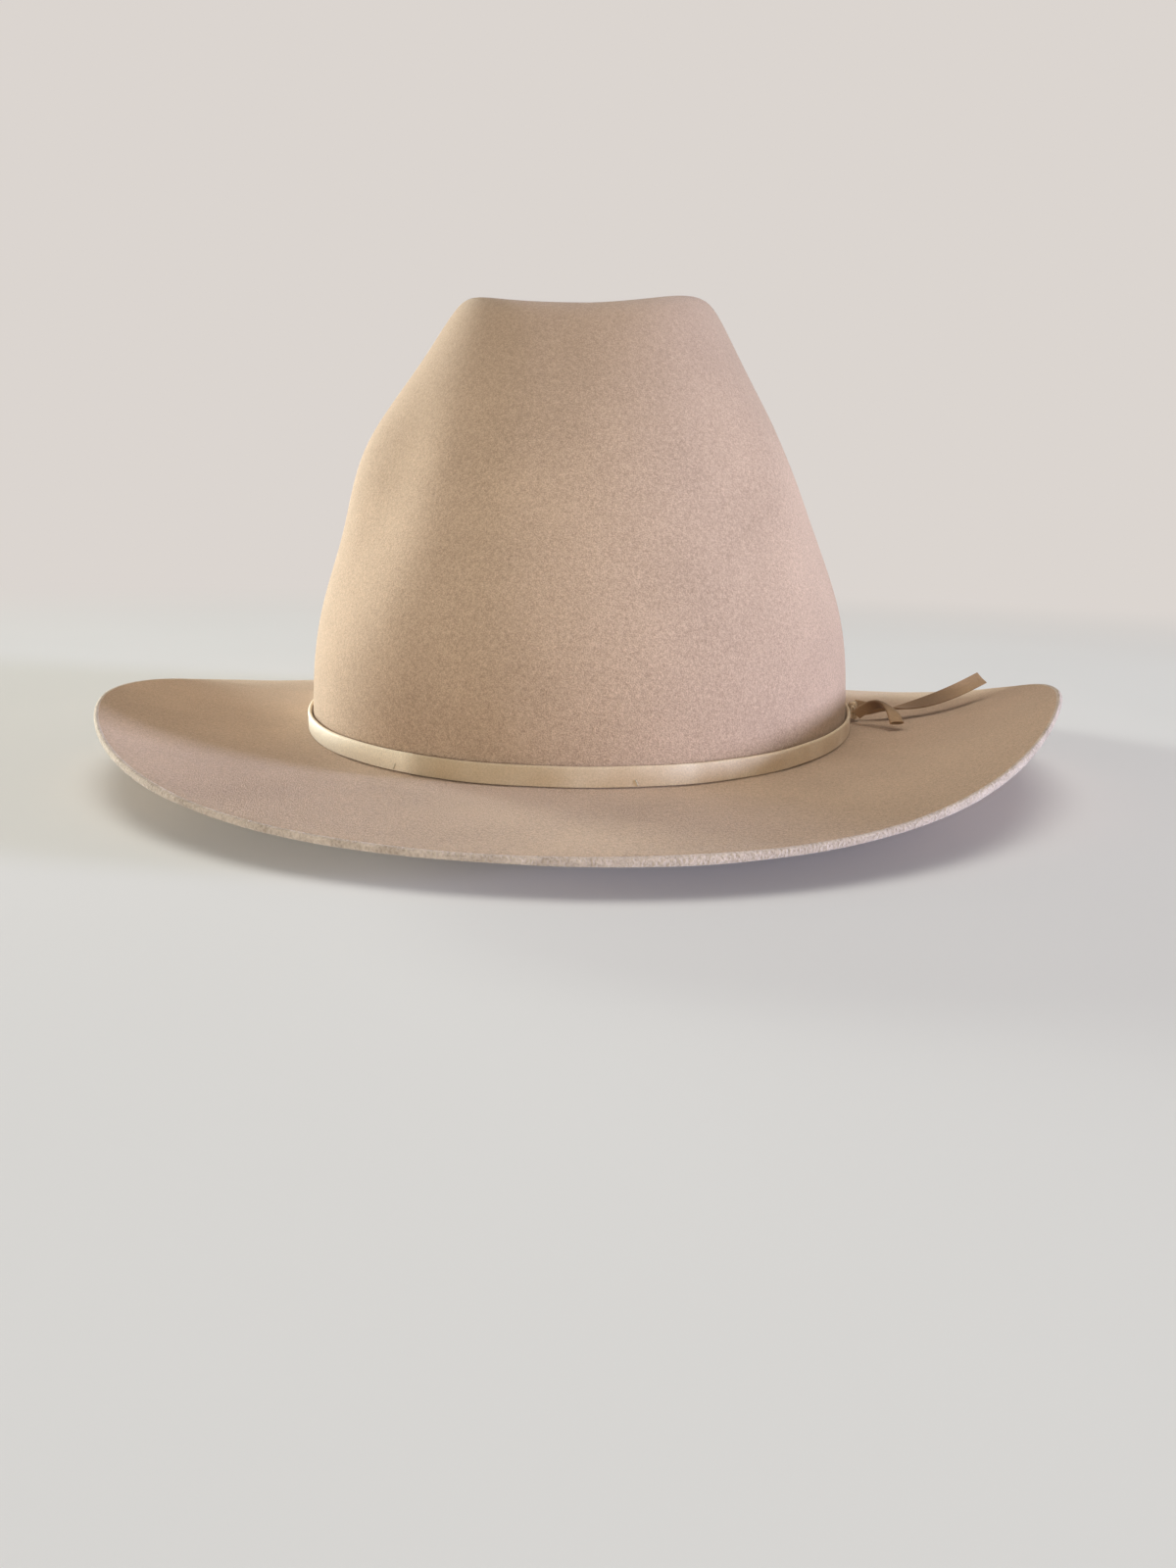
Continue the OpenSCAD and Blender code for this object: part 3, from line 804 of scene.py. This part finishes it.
def makeBand():
    size = bandSizes
    fine = [ovalPlace(math.radians(step / 10)) for step in range(3601)]
    route = []
    for share in evenShares(fine, size["ribPitch"], 0):
        angle = 2 * math.pi * share
        lift = size["wave"] * (math.sin(angle * 9 + 1) + 0.6 * math.sin(angle * 23)) / 2
        route.append(ovalPlace(angle, lapAt(angle), lift))
    profile = bandProfile()
    band = sweep("ribbonBand", route, profile, closed=True)
    mapRibs(band, len(profile), len(route))
    faceOutward(band)
    pressGrooves(band, len(profile), size["grooveDepth"])
    finishPiece(band, "hat", [ribbonLight], 60)
    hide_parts("hat_band")
    return band


band = makeBand()
print("band made,", len(band.data.polygons), "faces")


tailSizes = {
    "width": 4.8 * mm,
    "thickness": 0.5 * mm,
    "thinEdge": 0.6,            # the ribbon's edges as a share of its thickness
    "bow": 0.35 * mm,           # how far the ribbon's middle cups
    "tubeThickness": 1.9 * mm,
    "tubeWall": 0.32 * mm,
    "tubeSides": 16,
    "tubeStart": 0.72,          # the tube's size at the knot as a share of its full size
    "longSteer": [(0, 0, 0), (12, 0, -1.6), (24, 4, 1.6), (40, 11, 9.8)],
    "longTwist": 130,
    "longHaste": 2.6,           # how early along its length the twist comes
    "longBend": (-1.0 * mm, 1.5 * mm),
    "shortSteer": [(0, 0, 0), (4.5, -2.2, 5.2), (9, -6.5, 6.5), (10.8, -12.5, 0)],
    "shortTwist": (20, 90),
    "shortBend": (1.2 * mm, -0.6 * mm, 0),
    "stub": 1.6 * mm,           # length hidden in the knot
}
jointPlaces = {joint["name"]: Vector(joint["pos_m"]) for joint in frame["joints"]}


def curvePlace(steer, share):
    weights = ((1 - share) ** 3, 3 * share * (1 - share) ** 2, 3 * share ** 2 * (1 - share), share ** 3)
    return sum((Vector(point) * weight for point, weight in zip(steer, weights)), Vector()) * mm


def steeredRoute(root, steer):
    fine = [curvePlace(steer, step / 400) for step in range(401)]
    shares = evenShares(fine, bandSizes["ribPitch"], 1)
    return shares, [root + curvePlace(steer, share) for share in shares]


def makeLongTail():
    size = tailSizes
    root = jointPlaces["long_tail_swing"]
    shares, route = steeredRoute(root, size["longSteer"])
    twists = [size["longTwist"] * (1 - (1 - share) ** size["longHaste"]) for share in shares]
    stubSteps = round(size["stub"] / bandSizes["ribPitch"]) * 2
    ahead = (route[1] - route[0]).normalized()
    stub = [route[0] - ahead * size["stub"] * (stubSteps - step) / stubSteps for step in range(stubSteps)]
    half, thin = size["width"] / 2, size["thickness"] / 2
    face, back = [], []
    for y in (-1, -0.5, 0, 0.5, 1):
        depth = thin * (size["thinEdge"] if abs(y) == 1 else 1)
        face.append((depth - size["bow"] * y * y, half * y))
        back.insert(0, (-depth - size["bow"] * y * y, half * y))
    profile = face + back
    tilts = [math.radians(twist) for twist in [0] * stubSteps + twists]
    tail = sweep("longTail", stub + route, profile, tilts)
    mapRibs(tail, len(profile), len(stub + route))
    pressGrooves(tail, len(profile), bandSizes["grooveDepth"])
    finishPiece(tail, None, [ribbonShadedCopy], 60)
    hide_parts("long_tail")
    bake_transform(tail)


def makeShortTail():
    size = tailSizes
    root = jointPlaces["short_tail_swing"]
    shares, route = steeredRoute(root, size["shortSteer"])
    first, last = size["shortTwist"]
    tilts = [math.radians(first + (last - first) * share) for share in shares]
    radii = [size["tubeStart"] + (1 - size["tubeStart"]) * share ** 0.7 for share in shares]
    half, thin = size["width"] / 2, size["tubeThickness"] / 2
    profile = []
    for step in range(size["tubeSides"]):
        turn = 2 * math.pi * step / size["tubeSides"]
        across = math.copysign(abs(math.cos(turn)) ** 0.8, math.cos(turn))
        profile.append((thin * math.sin(turn), half * across))
    tail = sweep("shortTail", route, profile, tilts, radii, capped=False)
    mapRibs(tail, len(profile), len(route))
    faceOutward(tail)
    pressGrooves(tail, len(profile), bandSizes["grooveDepth"])
    addModifier(tail, "SOLIDIFY", thickness=size["tubeWall"], offset=-1)
    applyModifiers(tail)
    finishPiece(tail, None, [ribbonShadedCopy], 60)
    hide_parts("short_tail")
    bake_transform(tail)


def joinAll(pieces, name):
    makeActive(pieces[0])
    for piece in pieces:
        piece.select_set(True)
    bpy.ops.object.join()
    joined = bpy.context.object
    joined.name = name
    joined.data.name = name
    return joined


knotSizes = {
    "wrapLength": 4.6 * mm,
    "wrapSteps": 9,
    "wrapRibs": 22,
    "wrapBulge": 0.12 * mm,
    "wrapTaper": 0.13,        # how much smaller the wrap's ends are
    "wrapWaist": 0.04,
    "wrapLean": 0.16,
    "wingLength": 2.6 * mm,
    "wingSides": 20,
    "wingOverlap": 0.4 * mm,  # length of a wing that lies inside the wrap
    "wingInset": 0.35 * mm,
    "wingDrift": (-0.45 * mm, -0.25 * mm),    # inwards and down, from a wing's root to its end
    "wingRadii": (0.74, 0.1, -0.06),          # at the root, added midway, and added by the end
    "ribDepth": 0.07 * mm,
}


def ribbedOutline(halfDepth, halfHeight, count, ribDepth):
    # a soft rectangle whose edge rises and falls once for each rib
    squareness = 3.2
    places = []
    for step in range(count):
        turn = 2 * math.pi * step / count
        across, up = math.cos(turn), math.sin(turn)
        size = (abs(across) ** squareness + abs(up) ** squareness) ** (-1 / squareness)
        rise = -ribDepth if step % 2 else 0
        places.append(((halfDepth * size + rise) * across, (halfHeight * size + rise) * up))
    return places


def makeKnotWrap(centre, depth, height):
    size = knotSizes
    outline = ribbedOutline(depth / 2, height / 2, 2 * size["wrapRibs"], size["ribDepth"])
    steps = size["wrapSteps"]
    route, radii, tilts = [], [], []
    for step in range(steps):
        share = step / (steps - 1) * 2 - 1
        route.append(centre + Vector((size["wrapBulge"] * (1 - share ** 2),
                                      share * size["wrapLength"] / 2, 0)))
        radii.append(1 - size["wrapTaper"] * abs(share) ** 6 - size["wrapWaist"] * (1 - share ** 2))
        tilts.append(size["wrapLean"] * share)
    wrap = sweep("ribbonKnot", route, outline, tilts, radii)
    mapRibs(wrap, len(outline), steps)
    layer = wrap.data.uv_layers["ribs"]
    for face in wrap.data.polygons:       # its ribs run along the knot, so the map is turned
        for corner, vertex in zip(face.loop_indices, face.vertices):
            layer.data[corner].uv = ((vertex % len(outline)) / 2, vertex // len(outline) / steps)
    return wrap


def makeKnotWing(centre, depth, height, side):
    size = knotSizes
    ringCount = 2 * round(size["wingLength"] / bandSizes["ribPitch"]) + 1
    inwards, down = size["wingDrift"]
    root, midway, end = size["wingRadii"]
    route, radii = [], []
    for ring in range(ringCount):
        share = ring / (ringCount - 1)
        y = side * (size["wrapLength"] / 2 - size["wingOverlap"] + share * size["wingLength"])
        route.append(centre + Vector((inwards * share - size["wingInset"], y, down * share)))
        radii.append(root + midway * math.sin(share * math.pi) + end * share)
    outline = ribbedOutline(depth / 2.4, height / 2.2, size["wingSides"], 0)
    wing = sweep("knotWing", route, outline, radii=radii)
    mapRibs(wing, len(outline), ringCount)
    pressGrooves(wing, len(outline), bandSizes["grooveDepth"])
    return wing


def makeKnot():
    low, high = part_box("band_knot")
    centre = (low + high) / 2
    depth, height = high.x - low.x, high.z - low.z
    parts = [makeKnotWrap(centre, depth, height)]
    parts += [makeKnotWing(centre, depth, height, side) for side in (-1, 1)]
    for part in parts:
        faceOutward(part)
    knot = joinAll(parts, "ribbonKnot")
    finishPiece(knot, "hat", [ribbonKnotCloth], 50)
    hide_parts("band_knot")


makeLongTail()
makeShortTail()
makeKnot()
print("knot and tails made")


threadSizes = {
    "tackLength": 1.9 * mm,
    "tackRadius": 0.17 * mm,
    "tackFacets": [(41.5, -24), (47.5, 24), (18.5, 24), (12.5, -24)],  # sixtieths of a turn, and lean
    "tackLevel": 1.7 * mm,
    "tackLift": 0.05 * mm,
    "stitchLength": 4.6 * mm,
    "stitchRadius": 0.24 * mm,
    "stitchCount": 60,
    "stitchLift": 0.12 * mm,
    "stitchBulge": 1.6,       # how far a stitch's middle rises, in its radii
    "stitchEnd": 0.55,
    "zigzagLength": 2.7 * mm,
    "zigzagCount": 14,
    "zigzagLean": 42,
    "zigzagOut": 0.55 * mm,
}


def makeStitch(name, length, radius, sides=8, steps=9):
    # one stitch along Y that rises out of the cloth and dips back in
    route = []
    for step in range(steps):
        share = step / (steps - 1) * 2 - 1
        rise = radius * threadSizes["stitchBulge"] * (1 - abs(share) ** 3)
        route.append(Vector((rise - radius, share * length / 2, 0)))
    turns = [2 * math.pi * side / sides for side in range(sides)]
    ring = [(radius * math.cos(turn), radius * math.sin(turn)) for turn in turns]
    radii = [threadSizes["stitchEnd"] if step in (0, steps - 1) else 1 for step in range(steps)]
    return sweep(name, route, ring, radii=radii)


def copiesAt(piece, places, name):
    # one copy of the piece at each place, each with its own mesh, then joined
    copies = []
    for place in places:
        makeActive(piece)
        bpy.ops.object.duplicate()
        copy = bpy.context.object
        copy.data.transform(place)
        copies.append(copy)
    bpy.data.objects.remove(piece)
    return joinAll(copies, name)


def turnTo(place, out, lean=0.0):
    # local X points out, Y along the cloth and Z up, leaning by an angle
    heading = math.atan2(out.y, out.x)
    return (Matrix.Translation(place) @ Matrix.Rotation(heading, 4, "Z")
            @ Matrix.Rotation(math.radians(lean), 4, "X"))


def sewOn(stitch, places, name, node):
    row = copiesAt(stitch, places, name)
    finishPiece(row, "hat", [sewingThread], 60)
    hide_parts(node)


def makeTacks():
    size = threadSizes
    places = []
    for facet, lean in size["tackFacets"]:
        angle = math.radians(facet * 6)
        out = bandSizes["outer"] + lapAt(angle) + size["tackLift"]
        places.append(turnTo(ovalPlace(angle, out, size["tackLevel"]), outwardAt(angle), 90 + lean))
    tack = makeStitch("tack", size["tackLength"], size["tackRadius"])
    sewOn(tack, places, "bandTacks", "band_tacks")


makeTacks()


sweatbandSizes = {
    "edgeBevel": 0.28 * mm,
    "sharpEdge": 50,          # degrees between the faces of a rim that is rounded
    "lumpDepth": 0.5 * mm,
    "lumpSpan": 0.03,
    "back": 5.0 * mm,         # from the crown's outer face to the leather's inner face
    "stitchLevel": 3.1 * mm,
}


def softenRims(piece, offset):
    # bevels every sharp edge that runs round the head
    startEdit(piece, "EDGE")
    bpy.ops.mesh.select_all(action="DESELECT")
    bpy.ops.mesh.edges_select_sharp(sharpness=math.radians(sweatbandSizes["sharpEdge"]))
    bpy.ops.object.mode_set(mode="OBJECT")
    picked = {edge.index for edge in piece.data.edges if edge.select and runsRound(piece.data, edge)}
    selectWhere(piece, "EDGE", lambda edge: edge.index in picked)
    bpy.ops.mesh.bevel(offset=offset, segments=1, affect="EDGES")
    bpy.ops.object.mode_set(mode="OBJECT")


def makeSweatband():
    leather = copyOfNode("sweatband", "sweatbandLeather")
    softenRims(leather, sweatbandSizes["edgeBevel"])
    subdivide(leather, 2)
    addLumps(leather, "leatherLumps", sweatbandSizes["lumpDepth"], sweatbandSizes["lumpSpan"])
    applyModifiers(leather)
    finishPiece(leather, "hat", [sweatLeather], 60)
    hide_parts("sweatband")


def makeSweatbandStitches():
    size = threadSizes
    back = -sweatbandSizes["back"] - size["stitchLift"]
    places = []
    for step in range(size["stitchCount"]):
        angle = 2 * math.pi * (step + 0.5) / size["stitchCount"]
        place = ovalPlace(angle, back, sweatbandSizes["stitchLevel"])
        places.append(turnTo(place, -outwardAt(angle)))
    stitch = makeStitch("stitch", size["stitchLength"], size["stitchRadius"], 6, 7)
    sewOn(stitch, places, "sweatbandStitches", "sweatband_stitches")


def makeBackSeam():
    size = threadSizes
    low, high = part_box("back_seam_stitches")
    places = []
    for step in range(size["zigzagCount"]):
        share = (step + 0.5) / size["zigzagCount"]
        place = Vector((0, high.y + (low.y - high.y) * share + size["zigzagOut"],
                        low.z + (high.z - low.z) * share))
        lean = size["zigzagLean"] if step % 2 else -size["zigzagLean"]
        places.append(turnTo(place, Vector((0, -1, 0)), 90 + lean))
    stitch = makeStitch("zigzag", size["zigzagLength"], size["tackRadius"], 6, 7)
    sewOn(stitch, places, "backSeamStitches", "back_seam_stitches")


bowSizes = {
    "cloth": 0.35 * mm,
    "height": 5.2 * mm,
    "loopSteps": 48,
    "loopDepth": 0.9 * mm,
    "loopRoot": 0.6 * mm,         # where a loop starts beside the middle
    "loopInset": 1.0 * mm,        # how much shorter than the bow's half a loop is
    "loopPinch": (0.35, 0.62),    # the loop's depth and the cloth's height at the knot, as shares
    "knotHalf": (1.0 * mm, 2.1 * mm),
    "knotRibs": 12,
    "knotRibDepth": 0.06 * mm,
    "knotRings": [(1.5, 0.8), (1.2, 0.97), (0.5, 1)],     # place along the knot in mm, and size
}


def makeBowLoop(centre, reach, side):
    size = bowSizes
    half, thin = size["height"] / 2, size["cloth"] / 2
    flat = [(thin, -half), (thin, 0), (thin, half), (-thin, half), (-thin, 0), (-thin, -half)]
    depthPinch, heightPinch = size["loopPinch"]
    route, radii = [], []
    for step in range(size["loopSteps"]):
        turn = 2 * math.pi * step / size["loopSteps"]
        along = (1 - math.cos(turn)) / 2
        depth = size["loopDepth"] * (depthPinch + (1 - depthPinch) * along)
        route.append(centre + Vector((side * (size["loopRoot"] + along * (reach - size["loopInset"])),
                                      depth * math.sin(turn), 0)))
        radii.append(heightPinch + (1 - heightPinch) * min(1, along * 2.2))
    loop = sweep("bowLoop", route, flat, radii=radii, closed=True)
    mapRibs(loop, len(flat), size["loopSteps"])
    return loop


def makeBowKnot(centre):
    size = bowSizes
    outline = ribbedOutline(*size["knotHalf"], 2 * size["knotRibs"], size["knotRibDepth"])
    rings = ([(-place, radius) for place, radius in size["knotRings"]]
             + list(reversed(size["knotRings"])))
    route = [centre + Vector((place * mm, 0, 0)) for place, radius in rings]
    knot = sweep("bowKnot", route, outline, radii=[radius for place, radius in rings])
    mapRibs(knot, len(outline), len(route))
    return knot


def makeBow():
    low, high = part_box("sweatband_bow")
    centre = (low + high) / 2
    parts = [makeBowLoop(centre, (high.x - low.x) / 2, side) for side in (-1, 1)]
    parts.append(makeBowKnot(centre))
    for part in parts:
        faceOutward(part)
    bow = joinAll(parts, "sweatbandBow")
    finishPiece(bow, "hat", [bindingTape], 50)
    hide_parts("sweatband_bow")


def makeReedTape():
    tape = copyOfNode("reed_tape", "reedTape")
    subdivide(tape, 1)
    applyModifiers(tape)
    finishPiece(tape, "hat", [bindingTape], 60)
    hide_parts("reed_tape")


def paintNode(name, material):
    for slot in frame["nodes"][name].material_slots:
        slot.material = material


makeSweatband()
makeSweatbandStitches()
makeBackSeam()
makeBow()
makeReedTape()
paintNode("sweatband_reed", reedPlastic)
paintNode("reed_joiner", joinerBrass)
print("sweatband sewn in")


liningSizes = {
    "sideWrinkle": 0.8 * mm,
    "sideSpan": 0.022,
    "tipWrinkle": 0.9 * mm,
    "tipSpan": 0.03,
    "sideFlat": (0.105, 0.5),
    "tipFlat": (0.075, 0.115),
    "tagBevel": 0.12 * mm,
}


def makeLiningPart(node, name, wrinkle, span):
    part = copyOfNode(node, name)
    subdivide(part, 2)
    addLumps(part, name + "Wrinkles", wrinkle, span)
    applyModifiers(part)
    finishPiece(part, "hat", [liningSatin], 60)
    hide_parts(node)
    return part


def makePiping():
    piping = copyOfNode("lining_piping", "liningPiping")
    subdivide(piping, 2)
    applyModifiers(piping)
    finishPiece(piping, "hat", [cordedPiping], 80)
    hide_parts("lining_piping")
    return piping


def makeTag():
    tag = copyOfNode("size_tag", "sizeTag")
    startEdit(tag, "EDGE")
    bpy.ops.mesh.select_all(action="SELECT")
    bpy.ops.mesh.bevel(offset=liningSizes["tagBevel"], segments=2, affect="EDGES")
    bpy.ops.object.mode_set(mode="OBJECT")
    finishPiece(tag, "hat", [wovenTag], 50)
    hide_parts("size_tag")


liningSide = makeLiningPart("lining_side", "liningSide",
                            liningSizes["sideWrinkle"], liningSizes["sideSpan"])
liningTip = makeLiningPart("lining_tip", "liningTip",
                           liningSizes["tipWrinkle"], liningSizes["tipSpan"])
piping = makePiping()
makeTag()
print("lining made")


stageSizes = {
    "radius": 14.0,
    "rings": 3,
    "dark": (0.77, 0.765, 0.75),
    "light": (0.8, 0.795, 0.78),
    "patchScale": 3.0,
    "fleckScale": 500.0,
    "fadeFrom": 0.3,          # the floor turns into the plain pale room between these distances
    "fadeTo": 0.95,
}


def makeStage():
    deselectAll()
    bpy.ops.mesh.primitive_circle_add(vertices=96, radius=stageSizes["radius"], fill_type="NGON",
                                      location=(0, 0, cadBox[0][2]))
    stage = bpy.context.object
    stage.name = "studioFloor"
    bpy.ops.object.transform_apply(location=True, rotation=True, scale=True)
    startEdit(stage, "FACE")
    bpy.ops.mesh.select_all(action="SELECT")
    for ring in range(stageSizes["rings"]):
        bpy.ops.mesh.inset(thickness=stageSizes["radius"] / (stageSizes["rings"] + 1))
    bpy.ops.object.mode_set(mode="OBJECT")
    material, tree, shader, coords = newMaterial("paleFloor", **{"Roughness": 0.9})
    mottle = mottleIn(tree, coords, stageSizes)
    pale = mixColour(tree, mottle["Patches"], stageSizes["dark"], stageSizes["light"])
    away = node(tree, "ShaderNodeVectorMath", operation="LENGTH")
    tree.links.new(coords.outputs["Object"], away.inputs[0])
    fade = node(tree, "ShaderNodeMapRange", interpolation_type="SMOOTHSTEP")
    fade.inputs["From Min"].default_value = stageSizes["fadeFrom"]
    fade.inputs["From Max"].default_value = stageSizes["fadeTo"]
    tree.links.new(away.outputs["Value"], fade.inputs["Value"])
    faded = fade.outputs["Result"]      # 1 where the floor has turned into the room
    feedColour(tree, shader, mixColour(tree, faded, pale, (0, 0, 0)))
    tree.links.new(mixColour(tree, faded, (0, 0, 0), lightSet["room"][0]), shader.inputs["Emission Color"])
    shader.inputs["Emission Strength"].default_value = 1
    shader.inputs["Specular IOR Level"].default_value = 0
    stage.data.materials.append(material)


lightSet = {
    "room": ((0.71, 0.665, 0.63), 1.0),     # the pale room behind the hat
    "glow": ((1.0, 0.95, 0.87), 0.22),      # the light that the room gives
    "lamps": [
        # name, turn round the hat, rise, distance, width, height, colour, watts
        ("windowLeft", 149, 4, 3.2, 0.9, 0.36, (1.0, 1.05, 0.97), 32),
        ("windowRight", 354, 5, 3.4, 0.7, 0.36, (0.97, 1.07, 1.55), 18.5),
        ("roomLeft", 223, 1, 3.4, 1.6, 0.5, (1.0, 1.0, 0.88), 9.2),
        ("roomFront", 275, 14, 3.4, 2.0, 1.2, (1.0, 0.99, 1.08), 3),
        ("ceiling", 270, 84, 3.0, 2.2, 2.2, (1.0, 0.97, 0.9), 10.2),
    ],
    "beam": 80,     # degrees that each lamp's light spreads
    "aim": 0.04,
}


def makeLights():
    world = bpy.data.worlds.new("softRoom")
    bpy.context.scene.world = world
    world.use_nodes = True
    tree = world.node_tree
    seen = tree.nodes["Background"]
    glow = node(tree, "ShaderNodeBackground")
    for background, (colour, strength) in ((seen, lightSet["room"]), (glow, lightSet["glow"])):
        background.inputs["Color"].default_value = (*colour, 1)
        background.inputs["Strength"].default_value = strength
    chosen = node(tree, "ShaderNodeMixShader")
    rays = node(tree, "ShaderNodeLightPath")
    tree.links.new(rays.outputs["Is Camera Ray"], chosen.inputs[0])
    tree.links.new(glow.outputs[0], chosen.inputs[1])
    tree.links.new(seen.outputs[0], chosen.inputs[2])
    tree.links.new(chosen.outputs[0], tree.nodes["World Output"].inputs["Surface"])
    aim = Vector((0, 0, lightSet["aim"]))
    for name, turn, rise, distance, width, height, colour, watts in lightSet["lamps"]:
        lamp = bpy.data.lights.new(name, "AREA")
        lamp.shape = "RECTANGLE"
        lamp.size = width
        lamp.size_y = height
        lamp.spread = math.radians(lightSet["beam"])
        lamp.color = colour
        lamp.energy = watts
        holder = bpy.data.objects.new(name, lamp)
        turned, risen = math.radians(turn), math.radians(rise)
        towards = Vector((math.cos(risen) * math.cos(turned), math.cos(risen) * math.sin(turned),
                          math.sin(risen)))
        holder.location = aim + towards * distance
        holder.rotation_euler = (-towards).to_track_quat("-Z", "Y").to_euler()
        bpy.context.scene.collection.objects.link(holder)


viewSet = {
    "place": (0.048, -0.356, 0.063),
    "turn": 7.44,     # degrees to the left of straight ahead
    "down": 13.41,
    "roll": 1.18,
    "lens": 24.975,
}


def makeCamera():
    camera = bpy.data.cameras.new("viewer")
    camera.lens = viewSet["lens"]
    camera.sensor_width = 36
    camera.sensor_fit = "AUTO"
    camera.clip_start = 0.01
    holder = bpy.data.objects.new("viewer", camera)
    bpy.context.scene.collection.objects.link(holder)
    holder.matrix_world = (Matrix.Translation(viewSet["place"])
                           @ Matrix.Rotation(math.radians(viewSet["turn"]), 4, "Z")
                           @ Matrix.Rotation(math.radians(90 - viewSet["down"]), 4, "X")
                           @ Matrix.Rotation(math.radians(viewSet["roll"]), 4, "Z"))
    bpy.context.scene.camera = holder


makeStage()
makeLights()
makeCamera()
bpy.context.scene.view_settings.view_transform = "Standard"
print("stage set")
